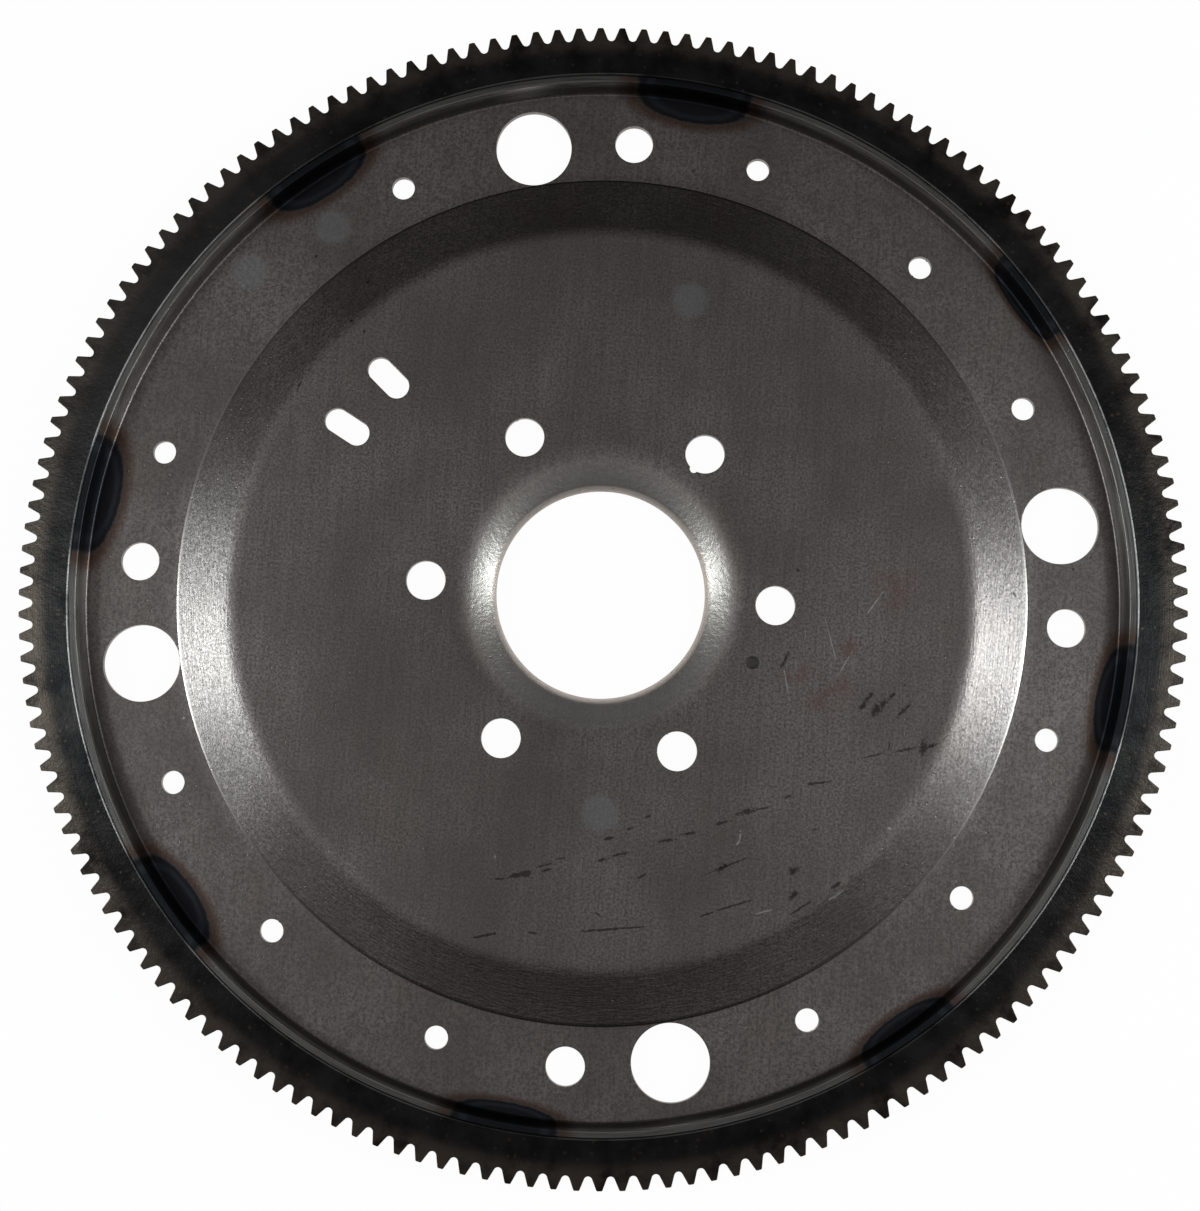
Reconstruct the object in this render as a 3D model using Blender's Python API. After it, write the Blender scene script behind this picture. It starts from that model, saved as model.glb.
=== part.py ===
"""A flexplate: a stamped steel disc with a toothed starter ring welded round its rim.

The part lies flat with the side that the rim flange rises towards facing +Z.
Its origin is on the crank's axis, level with the lowest point of the weld beads.
All sizes are in metres and all angles in degrees, counted from +X towards +Y.
"""
import math

import bmesh
import bpy
from mathutils import Matrix

# Ring gear
TOOTH_PAIRS = 82
TEETH = 2 * TOOTH_PAIRS
TIP_RADIUS = 0.18035
TOOTH_DEPTH = 0.0043
TOOTH_TIP_WIDTH = 0.0017
FLANK_ANGLE = 21.0
ROOT_ROUND_DEPTH = 0.0010
ROOT_ROUND_SHARE = 0.46
TOOTH_PHASE = -0.2
RING_DEPTH = 0.01460
RING_WIDTH = 0.0103
RING_CHAMFER = 0.0004

# Sheet and its rim flange
SHEET = 0.0023
FIT_GAP = 0.0003
RIM_BEND_RADIUS = 0.0026
RIM_SETBACK = 0.0006
RIM_EDGE_CHAMFER = 0.0005

# Dish: the inner zone stands above the outer zone, with a slope between them that starts at the access holes
DISH_RISE = 0.0050
CREASE_OVERLAP = 0.0003
STEP_RUN = 0.0184
SHOULDER_BEND_RADIUS = 0.0195

# Bore, with its lip rolled down away from the flange side
BORE_RADIUS = 0.0325
LIP_REACH = 0.0135
LIP_BEND_ANGLE = 30.0
LIP_LAND = 0.0020
LIP_LAND_ANGLE = 50.0

# Crankshaft bolt holes: six, of which the notched one is off the even spacing so that only one position fits
CRANK_CIRCLE_OFFSET = 0.0219
CRANK_HOLE_RADIUS = 0.0061
NOTCHED_HOLE_ANGLE = 57.28
CRANK_HOLE_ANGLES = (0.0, NOTCHED_HOLE_ANGLE, 120.0, 180.0, 240.0, 300.0)
NOTCH_RADIUS = 0.00125
NOTCH_BITE = 0.0010

# Blind locating dimple beside the crankshaft bolt holes
DIMPLE_INSET = 0.0026
DIMPLE_ANGLE = -20.6
DIMPLE_RADIUS = 0.0020
DIMPLE_FLOOR_RADIUS = 0.0013
DIMPLE_DEPTH = 0.0009

# Outer zone: converter bolt holes, access holes and small holes, all on one circle
CONVERTER_CIRCLE_INSET = 0.01790
CONVERTER_HOLE_RADIUS = 0.0060
CONVERTER_HOLE_ANGLES = (0.0, 90.0, 180.0, 270.0)
ACCESS_HOLE_RADIUS = 0.01205
ACCESS_HOLE_OFFSET = 12.7
SMALL_HOLE_RADIUS = 0.0036
SMALL_HOLE_ANGLES = (28.0, 50.0, 74.0, 120.0, 166.0, 208.0, 230.0, 254.0, 300.0, 324.0, 346.0)

# Pair of radial slots in the inner zone
SLOT_CIRCLE_INSET = 0.0199
SLOT_PAIR_ANGLE = 144.7
SLOT_HALF_SPREAD = 6.08
SLOT_WIDTH = 0.0078
SLOT_LENGTH = 0.0153

# Weld beads, laid by hand in the groove between the rim bend and the ring on the far side
WELD_ANGLES = (38.95, 83.65, 128.05, 173.05, 220.05, 264.05, 308.95, 352.55)
WELD_LENGTH = 0.0230
WELD_PROUD = 0.0012
WELD_FLAT_WIDTH = 0.0022
WELD_TOE = 0.0020
WELD_STATION_SCALES = (0.42, 0.82, 1.0, 1.0, 0.82, 0.42)

# Smoothness: the tight side of each bend gets one step fewer than its wide side
TURN_STEPS = TOOTH_PAIRS
LIP_STEPS = 3
SHOULDER_STEPS = 2
RIM_BEND_STEPS = 3
GROOVE_STEPS = 3
ACCESS_SIDES = 24
BOLT_SIDES = 16
SMALL_SIDES = 12
DIMPLE_SIDES = 10
NOTCH_SIDES = 10
SLOT_END_STEPS = 6
SHARP_ANGLE = 28.0
MERGE_DISTANCE = FIT_GAP / 10

# Radii that follow from the ring inwards, so that a larger ring takes rim, bolt circle and dish with it
RING_BORE_RADIUS = TIP_RADIUS - RING_DEPTH
RIM_OUTER_RADIUS = RING_BORE_RADIUS - FIT_GAP
RIM_INNER_RADIUS = RIM_OUTER_RADIUS - SHEET
CONVERTER_CIRCLE_RADIUS = RIM_INNER_RADIUS - CONVERTER_CIRCLE_INSET
CREASE_RADIUS = CONVERTER_CIRCLE_RADIUS - ACCESS_HOLE_RADIUS + CREASE_OVERLAP
SHOULDER_RADIUS = CREASE_RADIUS - STEP_RUN
SLOT_CIRCLE_RADIUS = SHOULDER_RADIUS - SLOT_CIRCLE_INSET

# Radii that follow from the bore outwards
CRANK_CIRCLE_RADIUS = BORE_RADIUS + CRANK_CIRCLE_OFFSET
DIMPLE_CIRCLE_RADIUS = CRANK_CIRCLE_RADIUS - DIMPLE_INSET

# Levels that follow, from the lowest point of the weld beads up
PLATE_BACK = WELD_PROUD
OUTER_FACE = PLATE_BACK + SHEET
INNER_FACE = OUTER_FACE + DISH_RISE
RING_BACK = WELD_PROUD
RING_FACE = RING_BACK + RING_WIDTH
RIM_EDGE = RING_FACE - RIM_SETBACK
PUNCH_LENGTH = 2 * RING_FACE


def clear_scene():
    for obj in list(bpy.data.objects):
        bpy.data.objects.remove(obj, do_unlink=True)


def make_material(name, colour, roughness, metallic):
    material = bpy.data.materials.new(name)
    material.use_nodes = True
    shader = material.node_tree.nodes["Principled BSDF"]
    shader.inputs["Base Color"].default_value = (*colour, 1.0)
    shader.inputs["Roughness"].default_value = roughness
    shader.inputs["Metallic"].default_value = metallic
    return material


def make_object(name, bm, material):
    """Turns a finished bmesh into a named, smooth-shaded object with its edges kept crisp."""
    bmesh.ops.recalc_face_normals(bm, faces=bm.faces[:])
    mesh = bpy.data.meshes.new(name)
    bm.to_mesh(mesh)
    bm.free()
    mesh.shade_smooth()
    mesh.set_sharp_from_angle(angle=math.radians(SHARP_ANGLE))
    mesh.materials.append(material)
    obj = bpy.data.objects.new(name, mesh)
    bpy.context.scene.collection.objects.link(obj)
    return obj


def make_cutter(name, bm):
    """A closed mesh that is only used by a Boolean modifier."""
    bmesh.ops.recalc_face_normals(bm, faces=bm.faces[:])
    mesh = bpy.data.meshes.new(name)
    bm.to_mesh(mesh)
    bm.free()
    obj = bpy.data.objects.new(name, mesh)
    bpy.context.scene.collection.objects.link(obj)
    obj.hide_render = True
    obj.display_type = "WIRE"
    return obj


def cut(target, cutter):
    modifier = target.modifiers.new(cutter.name, "BOOLEAN")
    modifier.operation = "DIFFERENCE"
    modifier.solver = "EXACT"
    modifier.object = cutter


def polar(radius, angle):
    turn = math.radians(angle)
    return radius * math.cos(turn), radius * math.sin(turn)


def arc(centre_r, centre_z, radius, first_angle, last_angle, steps):
    """Points (r, z) on an arc. Angle 0 points outwards and 90 points up."""
    points = []
    for i in range(steps + 1):
        turn = math.radians(first_angle + (last_angle - first_angle) * i / steps)
        points.append((centre_r + radius * math.cos(turn), centre_z + radius * math.sin(turn)))
    return points


def plate_section():
    """The sheet's closed section: along the upper face from bore to rim, then back underneath."""
    lip_radius = (LIP_REACH - LIP_LAND) / math.sin(math.radians(LIP_BEND_ANGLE))
    lip_centre = (BORE_RADIUS + LIP_REACH, INNER_FACE - lip_radius)
    lip_end_angle = 90.0 + LIP_BEND_ANGLE
    upper_lip = arc(*lip_centre, lip_radius, lip_end_angle, 90.0, LIP_STEPS)
    under_lip = arc(*lip_centre, lip_radius - SHEET, 90.0, lip_end_angle, LIP_STEPS - 1)
    land_slope = math.radians(LIP_LAND_ANGLE)
    bore_top = (BORE_RADIUS, upper_lip[0][1] - LIP_LAND * math.tan(land_slope))
    bore_under = (bore_top[0] + SHEET * math.sin(land_slope), bore_top[1] - SHEET * math.cos(land_slope))

    slope = math.atan(DISH_RISE / (CREASE_RADIUS - SHOULDER_RADIUS))
    shoulder_tangent = SHOULDER_BEND_RADIUS * math.tan(slope / 2)
    shoulder_centre = (SHOULDER_RADIUS - shoulder_tangent, INNER_FACE - SHOULDER_BEND_RADIUS)
    slope_angle = 90.0 - math.degrees(slope)
    upper_shoulder = arc(*shoulder_centre, SHOULDER_BEND_RADIUS, 90.0, slope_angle, SHOULDER_STEPS)
    under_radius = SHOULDER_BEND_RADIUS - SHEET
    under_shoulder = arc(*shoulder_centre, under_radius, slope_angle, 90.0, SHOULDER_STEPS - 1)
    upper_crease = (CREASE_RADIUS, OUTER_FACE)
    under_crease = (CREASE_RADIUS - SHEET * math.tan(slope / 2), PLATE_BACK)

    rim_centre = (RIM_INNER_RADIUS - RIM_BEND_RADIUS, OUTER_FACE + RIM_BEND_RADIUS)
    upper_rim = arc(*rim_centre, RIM_BEND_RADIUS, -90.0, 0.0, RIM_BEND_STEPS - 1)
    under_rim = arc(*rim_centre, RIM_BEND_RADIUS + SHEET, 0.0, -90.0, RIM_BEND_STEPS)
    rim_edge = [
        (RIM_INNER_RADIUS, RIM_EDGE - RIM_EDGE_CHAMFER),
        (RIM_INNER_RADIUS + RIM_EDGE_CHAMFER, RIM_EDGE),
        (RIM_OUTER_RADIUS, RIM_EDGE),
    ]
    upper_face = [bore_top] + upper_lip + upper_shoulder + [upper_crease] + upper_rim
    under_face = under_rim + [under_crease] + under_shoulder + under_lip + [bore_under]
    return upper_face + rim_edge + under_face


def turned_body(section):
    """Spins a closed section (r, z) a full turn about the crank's axis."""
    bm = bmesh.new()
    verts = [bm.verts.new((r, 0.0, z)) for r, z in section]
    edges = [bm.edges.new((a, b)) for a, b in zip(verts, verts[1:] + verts[:1])]
    bmesh.ops.spin(
        bm,
        geom=verts + edges,
        cent=(0.0, 0.0, 0.0),
        axis=(0.0, 0.0, 1.0),
        angle=math.tau,
        steps=TURN_STEPS,
        use_merge=True,
    )
    return bm


def add_punch(bm, hole_radius, circle_radius, angle, sides):
    """A round punch that passes right through the sheet, centred on a bolt circle."""
    x, y = polar(circle_radius, angle)
    place = Matrix.Translation((x, y, RING_FACE / 2)) @ Matrix.Rotation(math.radians(angle), 4, "Z")
    bmesh.ops.create_cone(
        bm,
        cap_ends=True,
        segments=sides,
        radius1=hole_radius,
        radius2=hole_radius,
        depth=PUNCH_LENGTH,
        matrix=place,
    )


def add_slot_punch(bm, angle):
    """A punch with round ends whose long axis points away from the crank's axis."""
    end_radius = SLOT_WIDTH / 2
    reach = SLOT_LENGTH / 2 - end_radius
    outer_end = arc(reach, 0.0, end_radius, -90.0, 90.0, SLOT_END_STEPS)
    inner_end = arc(-reach, 0.0, end_radius, 90.0, 270.0, SLOT_END_STEPS)
    turn = Matrix.Rotation(math.radians(angle), 4, "Z")
    base = turn @ Matrix.Translation((SLOT_CIRCLE_RADIUS, 0.0, -RING_FACE / 2))
    verts = [bm.verts.new(base @ Matrix.Translation((x, y, 0.0)).translation) for x, y in outer_end + inner_end]
    face = bm.faces.new(verts)
    raised = bmesh.ops.extrude_face_region(bm, geom=[face])["geom"]
    moved = [item for item in raised if isinstance(item, bmesh.types.BMVert)]
    bmesh.ops.translate(bm, verts=moved, vec=(0.0, 0.0, PUNCH_LENGTH))


def make_hole_punches():
    bm = bmesh.new()
    for angle in CRANK_HOLE_ANGLES:
        add_punch(bm, CRANK_HOLE_RADIUS, CRANK_CIRCLE_RADIUS, angle, BOLT_SIDES)
    for angle in CONVERTER_HOLE_ANGLES:
        add_punch(bm, CONVERTER_HOLE_RADIUS, CONVERTER_CIRCLE_RADIUS, angle, BOLT_SIDES)
        add_punch(bm, ACCESS_HOLE_RADIUS, CONVERTER_CIRCLE_RADIUS, angle + ACCESS_HOLE_OFFSET, ACCESS_SIDES)
    for angle in SMALL_HOLE_ANGLES:
        add_punch(bm, SMALL_HOLE_RADIUS, CONVERTER_CIRCLE_RADIUS, angle, SMALL_SIDES)
    for side in (-1, 1):
        add_slot_punch(bm, SLOT_PAIR_ANGLE + side * SLOT_HALF_SPREAD)
    return make_cutter("hole_punches", bm)


def make_notch_punch():
    """The small round notch on the crank side of the offset bolt hole."""
    bm = bmesh.new()
    notch_centre = CRANK_CIRCLE_RADIUS - (CRANK_HOLE_RADIUS + NOTCH_BITE - NOTCH_RADIUS)
    add_punch(bm, NOTCH_RADIUS, notch_centre, NOTCHED_HOLE_ANGLE, NOTCH_SIDES)
    return make_cutter("notch_punch", bm)


def make_dimple_punch():
    """A tapered blind punch that stops part way into the upper face."""
    bm = bmesh.new()
    x, y = polar(DIMPLE_CIRCLE_RADIUS, DIMPLE_ANGLE)
    widening = (DIMPLE_RADIUS - DIMPLE_FLOOR_RADIUS) * 2
    bmesh.ops.create_cone(
        bm,
        cap_ends=True,
        segments=DIMPLE_SIDES,
        radius1=DIMPLE_FLOOR_RADIUS,
        radius2=DIMPLE_FLOOR_RADIUS + widening,
        depth=2 * DIMPLE_DEPTH,
        matrix=Matrix.Translation((x, y, INNER_FACE)),
    )
    return make_cutter("dimple_punch", bm)


def make_stamped_plate(material):
    plate = make_object("stamped_plate", turned_body(plate_section()), material)
    cut(plate, make_hole_punches())
    cut(plate, make_notch_punch())
    cut(plate, make_dimple_punch())


def tooth_outline(centre_angle):
    """Half gap, tooth and half gap, as plan points (x, y) from one root to the next."""
    pitch = 360.0 / TEETH
    foot_depth = TOOTH_DEPTH - ROOT_ROUND_DEPTH
    foot_radius = TIP_RADIUS - foot_depth
    root_radius = TIP_RADIUS - TOOTH_DEPTH
    tip_half = TOOTH_TIP_WIDTH / 2
    foot_half = tip_half + foot_depth * math.tan(math.radians(FLANK_ANGLE))
    tip_turn = math.degrees(tip_half / TIP_RADIUS)
    foot_turn = math.degrees(foot_half / foot_radius)
    root_turn = pitch / 2 - (pitch / 2 - foot_turn) * ROOT_ROUND_SHARE
    turns = (
        (root_radius, -root_turn),
        (foot_radius, -foot_turn),
        (TIP_RADIUS, -tip_turn),
        (TIP_RADIUS, tip_turn),
        (foot_radius, foot_turn),
        (root_radius, root_turn),
    )
    return [polar(radius, centre_angle + turn) for radius, turn in turns]


def make_ring_gear(material):
    """Spins a two-tooth slice of the ring's face round the axis, then gives it its width."""
    bm = bmesh.new()
    pitch = 360.0 / TEETH
    start = TOOTH_PHASE - pitch / 2
    root_radius = TIP_RADIUS - TOOTH_DEPTH
    outline = [polar(root_radius, start)]
    for tooth in range(2):
        outline += tooth_outline(TOOTH_PHASE + tooth * pitch)
    outline.append(polar(root_radius, start + 2 * pitch))
    outline.append(polar(RING_BORE_RADIUS, start + 2 * pitch))
    outline.append(polar(RING_BORE_RADIUS, start))
    face = bm.faces.new([bm.verts.new((x, y, RING_BACK)) for x, y in outline])
    bmesh.ops.spin(
        bm,
        geom=[face] + face.edges[:] + face.verts[:],
        cent=(0.0, 0.0, 0.0),
        axis=(0.0, 0.0, 1.0),
        angle=math.radians((TOOTH_PAIRS - 1) * 2 * pitch),
        steps=TOOTH_PAIRS - 1,
        use_duplicate=True,
    )
    bmesh.ops.remove_doubles(bm, verts=bm.verts[:], dist=MERGE_DISTANCE)
    raised = bmesh.ops.extrude_face_region(bm, geom=bm.faces[:])["geom"]
    top = [item for item in raised if isinstance(item, bmesh.types.BMVert)]
    bmesh.ops.translate(bm, verts=top, vec=(0.0, 0.0, RING_WIDTH))
    bore_edges = [e for e in bm.edges if is_bore_rim(e)]
    bmesh.ops.bevel(
        bm,
        geom=bore_edges,
        offset=RING_CHAMFER,
        offset_type="OFFSET",
        segments=1,
        profile=0.5,
        affect="EDGES",
        material=-1,
    )
    make_object("ring_gear", bm, material)


def is_bore_rim(edge):
    """True for the edges of the ring's bore at its two faces."""
    first, second = (v.co for v in edge.verts)
    on_bore = all(math.hypot(co.x, co.y) < RING_BORE_RADIUS + FIT_GAP for co in (first, second))
    return on_bore and abs(first.z - second.z) < FIT_GAP


def bead_section():
    """The bead's section (r, z): toes over plate and ring, a flat crown, and a root in the groove."""
    bend_r = RIM_INNER_RADIUS - RIM_BEND_RADIUS
    bend_z = OUTER_FACE + RIM_BEND_RADIUS
    clear_radius = RIM_BEND_RADIUS + SHEET + FIT_GAP
    wall = RING_BORE_RADIUS - FIT_GAP
    toe_z = PLATE_BACK - FIT_GAP
    apex_angle = -math.degrees(math.acos((wall - bend_r) / clear_radius))
    groove = arc(bend_r, bend_z, clear_radius, apex_angle, -90.0, GROOVE_STEPS)
    crown_centre = (bend_r + RING_BORE_RADIUS + WELD_TOE) / 2
    crown = [(crown_centre - WELD_FLAT_WIDTH / 2, 0.0), (crown_centre + WELD_FLAT_WIDTH / 2, 0.0)]
    return groove + crown + [(RING_BORE_RADIUS + WELD_TOE, toe_z), (wall, toe_z)]


def make_weld_bead(number, middle, material):
    """Lofts the bead's section along the rim, drawn in at both ends towards the groove's mouth."""
    bm = bmesh.new()
    section = bead_section()
    pivot_r, pivot_z = section[-1]
    sweep = math.degrees(WELD_LENGTH / RING_BORE_RADIUS)
    last = len(WELD_STATION_SCALES) - 1
    loops = []
    for i, scale in enumerate(WELD_STATION_SCALES):
        angle = middle + sweep * (i / last - 0.5)
        ring = []
        for r, z in section:
            x, y = polar(pivot_r + (r - pivot_r) * scale, angle)
            ring.append(bm.verts.new((x, y, pivot_z + (z - pivot_z) * scale)))
        loops.append([bm.edges.new((a, b)) for a, b in zip(ring, ring[1:] + ring[:1])])
    for near, far in zip(loops, loops[1:]):
        bmesh.ops.bridge_loops(bm, edges=near + far)
    bmesh.ops.holes_fill(bm, edges=loops[0] + loops[-1], sides=len(section))
    make_object(f"weld_bead_{number}", bm, material)


def main():
    clear_scene()
    plate_steel = make_material("plate_steel", (0.115, 0.108, 0.104), 0.42, 1.0)
    ring_steel = make_material("ring_steel", (0.020, 0.017, 0.015), 0.50, 0.9)
    weld_steel = make_material("weld_steel", (0.060, 0.058, 0.062), 0.45, 1.0)
    make_stamped_plate(plate_steel)
    make_ring_gear(ring_steel)
    for number, middle in enumerate(WELD_ANGLES, start=1):
        make_weld_bead(number, middle, weld_steel)


main()
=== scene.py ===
# %% [markdown]
# # A flexplate, dressed for its picture
#
# A flexplate is the thin steel disc between an engine and its automatic gearbox. The engine turns it
# through six bolts near the middle, and four bolts near the rim pass the turning on to the torque
# converter. The starter motor's pinion drives the toothed ring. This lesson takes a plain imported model
# of the part and gives it rounder shapes, real finishes, light and a camera, one step at a time.

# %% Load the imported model
import math

import bmesh
import bpy
from mathutils import Matrix, Vector


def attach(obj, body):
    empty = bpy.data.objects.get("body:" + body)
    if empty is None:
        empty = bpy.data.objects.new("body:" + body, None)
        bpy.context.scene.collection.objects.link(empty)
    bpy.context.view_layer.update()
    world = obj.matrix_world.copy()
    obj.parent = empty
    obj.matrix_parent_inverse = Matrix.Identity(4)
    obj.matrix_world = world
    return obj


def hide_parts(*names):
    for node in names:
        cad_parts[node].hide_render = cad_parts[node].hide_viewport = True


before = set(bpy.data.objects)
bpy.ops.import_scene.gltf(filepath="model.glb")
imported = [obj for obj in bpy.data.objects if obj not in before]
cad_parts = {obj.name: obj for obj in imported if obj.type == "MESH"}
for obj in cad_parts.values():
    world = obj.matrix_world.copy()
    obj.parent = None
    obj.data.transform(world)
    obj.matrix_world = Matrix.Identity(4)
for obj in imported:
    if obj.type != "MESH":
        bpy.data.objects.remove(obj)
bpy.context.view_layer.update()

# %% [markdown]
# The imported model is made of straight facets, which is right for a physics engine and shows in a close
# picture. Each of its solids gets a finer piece that stands for it. Every piece is finished the same
# way: its faces are turned outwards, it is shaded smooth, and its object is left at the origin so that
# a pattern on object coordinates stays where it belongs.

# %% Helpers for finished pieces
SHARP_ANGLE = math.radians(32)


def polar(radius, angle):
    """A point at a radius and an angle in degrees, flat on the part."""
    turn = math.radians(angle)
    return Vector((radius * math.cos(turn), radius * math.sin(turn), 0.0))


def to_object(name, bm):
    bmesh.ops.recalc_face_normals(bm, faces=bm.faces[:])
    mesh = bpy.data.meshes.new(name)
    bm.to_mesh(mesh)
    bm.free()
    piece = bpy.data.objects.new(name, mesh)
    bpy.context.scene.collection.objects.link(piece)
    return piece


def shade(piece):
    """Smooth shading that keeps corners crisp and wide flats flat."""
    piece.data.shade_smooth()
    piece.data.set_sharp_from_angle(angle=SHARP_ANGLE)
    flats = piece.modifiers.new("flats", "WEIGHTED_NORMAL")
    flats.mode = "FACE_AREA"
    flats.weight = 100
    flats.keep_sharp = True
    apply_modifiers(piece)
    print(piece.name, "faces:", len(piece.data.polygons))


def apply_modifiers(piece):
    """Replaces the piece's mesh by what its modifiers make of it."""
    graph = bpy.context.evaluated_depsgraph_get()
    made = bpy.data.meshes.new_from_object(piece.evaluated_get(graph))
    piece.modifiers.clear()
    piece.data = made


def seat(piece, node):
    """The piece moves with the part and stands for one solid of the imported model."""
    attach(piece, "root")
    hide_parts(node)


# %% [markdown]
# ## The stamped plate
#
# The real plate is one sheet, 2.3 mm thick, that a press has dished, rolled down round the bore and
# turned up at the rim. Its section is a chain of straight runs and bends, so it can be drawn as a pen
# would draw it: a run adds a point, and a bend spins the last point about the bend's centre. This is
# quicker to read than a list of worked-out points, and each bend's radius stays one plain number.
#
# Each row of a table below is one bend: how many degrees it turns, its radius in metres, and its steps.
# The lip rolls down softly to a sloping land round the bore. The dish falls in one long slope, which ends
# in a short, steep crease. The rim starts with a tight bend at its foot and leans on with a wide one.

# %% Draw the upper face's section
INNER_FACE = 0.0085
OUTER_FACE = 0.0035
SHEET = 0.0023
LIP_START = 0.0480
LIP_BENDS = ((-11.0, 0.0260, 6), (-9.0, 0.0200, 5), (-8.0, 0.0480, 5))
LAND_SLOPE = 50.0
BORE_RADIUS = 0.0325
SHOULDER_START = 0.1124
DISH_BENDS = (
    (-16.6, 0.0195, 12),
    (2.96, 0.28944, 4),
    (-8.0, 0.0025, 3),
    (18.6, 0.0010, 6),
    (3.04, 0.0800, 5),
)
RIM_FOOT_RADIUS = 0.16092
RIM_BENDS = ((62.0, 0.0009, 8), (28.0, 0.0090, 6))
RIM_EDGE = 0.0109


def run_to(bm, pen, r, z):
    tip = bm.verts.new((r, 0.0, z))
    bm.edges.new((pen, tip))
    return tip


def bend(bm, pen, heading, turn, radius, steps, outwards=1):
    """Swings the pen on an arc, and gives the new pen and heading. A positive turn curves upwards."""
    side = radius * math.copysign(1.0, turn)
    lean = math.radians(heading)
    centre = pen.co + Vector((-side * math.sin(lean) * outwards, 0.0, side * math.cos(lean)))
    made = bmesh.ops.spin(
        bm,
        geom=[pen],
        cent=centre,
        axis=(0.0, -outwards, 0.0),
        angle=math.radians(turn),
        steps=steps,
    )
    tip = next(item for item in made["geom_last"] if isinstance(item, bmesh.types.BMVert))
    return tip, heading + turn


def draw_section():
    bm = bmesh.new()
    start = bm.verts.new((LIP_START, 0.0, INNER_FACE))
    pen, heading = start, 0.0
    for turn, radius, steps in LIP_BENDS:
        pen, heading = bend(bm, pen, heading, turn, radius, steps, outwards=-1)
    land_drop = (pen.co.x - BORE_RADIUS) * math.tan(math.radians(LAND_SLOPE))
    run_to(bm, pen, BORE_RADIUS, pen.co.z - land_drop)
    pen, heading = run_to(bm, start, SHOULDER_START, INNER_FACE), 0.0
    for turn, radius, steps in DISH_BENDS:
        pen, heading = bend(bm, pen, heading, turn, radius, steps)
    print("dish falls by, in mm:", round(1000 * (INNER_FACE - pen.co.z), 3))
    pen, heading = run_to(bm, pen, RIM_FOOT_RADIUS, OUTER_FACE), 0.0
    for turn, radius, steps in RIM_BENDS:
        pen, heading = bend(bm, pen, heading, turn, radius, steps)
    print("rim's inner radius in mm:", round(1000 * pen.co.x, 2))
    run_to(bm, pen, pen.co.x, RIM_EDGE)
    print("section points:", len(bm.verts))
    return bm


section = draw_section()

# %% [markdown]
# Turning the section about the crank's axis gives the upper face as a skin. Its faces are turned to look
# up, and the Solidify modifier then adds the sheet's thickness behind them. That keeps the thickness even
# round every bend, just as in a pressed sheet.

# %% Turn the section and give it the sheet's thickness
TURN_STEPS = 360


def turn_full(bm):
    bmesh.ops.spin(
        bm,
        geom=bm.verts[:] + bm.edges[:],
        cent=(0.0, 0.0, 0.0),
        axis=(0.0, 0.0, 1.0),
        angle=math.tau,
        steps=TURN_STEPS,
        use_merge=True,
    )
    bmesh.ops.remove_doubles(bm, verts=bm.verts[:], dist=0.00001)


turn_full(section)
bmesh.ops.recalc_face_normals(section, faces=section.faces[:])
if sum(face.normal.z * face.calc_area() for face in section.faces) < 0:
    bmesh.ops.reverse_faces(section, faces=section.faces[:])
plate_mesh = bpy.data.meshes.new("plate")
section.to_mesh(plate_mesh)
section.free()
plate = bpy.data.objects.new("plate", plate_mesh)
bpy.context.scene.collection.objects.link(plate)
wall = plate.modifiers.new("sheet", "SOLIDIFY")
wall.thickness = SHEET
wall.offset = -1.0
wall.use_even_offset = True
wall.use_quality_normals = True
apply_modifiers(plate)
print("plate thickness in mm:", 1000 * SHEET, "faces:", len(plate.data.polygons))

# %% [markdown]
# The press then punches the holes: the crankshaft's six bolt holes, one of them off the even spacing so
# that the plate fits one way only, the converter's four, an access hole beside each, eleven small
# lightening holes, and two slots. A Boolean with plain cylinders does the same job.

# %% Punch the holes
THROUGH = 0.04
CRANK_CIRCLE = 0.0544
CRANK_HOLE = 0.0061
OFFSET_HOLE = 57.28
CRANK_ANGLES = (0, OFFSET_HOLE, 120, 180, 240, 300)
CONVERTER_CIRCLE = 0.14525
CONVERTER_HOLE = 0.0060
CONVERTER_ANGLES = (0, 90, 180, 270)
ACCESS_HOLE = 0.01205
ACCESS_OFFSET = 12.7
SMALL_HOLE = 0.0036
SMALL_ANGLES = (28, 50, 74, 120, 166, 208, 230, 254, 300, 324, 346)
SLOT_CIRCLE = 0.0952
SLOT_END = 0.0039
SLOT_HALF_RUN = 0.00375
SLOT_ANGLES = (138.62, 150.78)


def add_punch(bm, circle_radius, angle, hole_radius, sides):
    bmesh.ops.create_cone(
        bm,
        cap_ends=True,
        segments=sides,
        radius1=hole_radius,
        radius2=hole_radius,
        depth=THROUGH,
        matrix=Matrix.Translation(polar(circle_radius, angle)),
    )


def add_slot_punch(bm, angle):
    """A round punch pulled apart along the radius into a slot's form."""
    made = bmesh.ops.create_cone(
        bm,
        cap_ends=True,
        segments=50,
        radius1=SLOT_END,
        radius2=SLOT_END,
        depth=THROUGH,
    )["verts"]
    for side in (-1, 1):
        half = [v for v in made if v.co.x * side > 0]
        bmesh.ops.translate(bm, verts=half, vec=(side * SLOT_HALF_RUN, 0.0, 0.0))
    place = Matrix.Rotation(math.radians(angle), 4, "Z") @ Matrix.Translation((SLOT_CIRCLE, 0.0, 0.0))
    bmesh.ops.transform(bm, verts=made, matrix=place)


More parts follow.
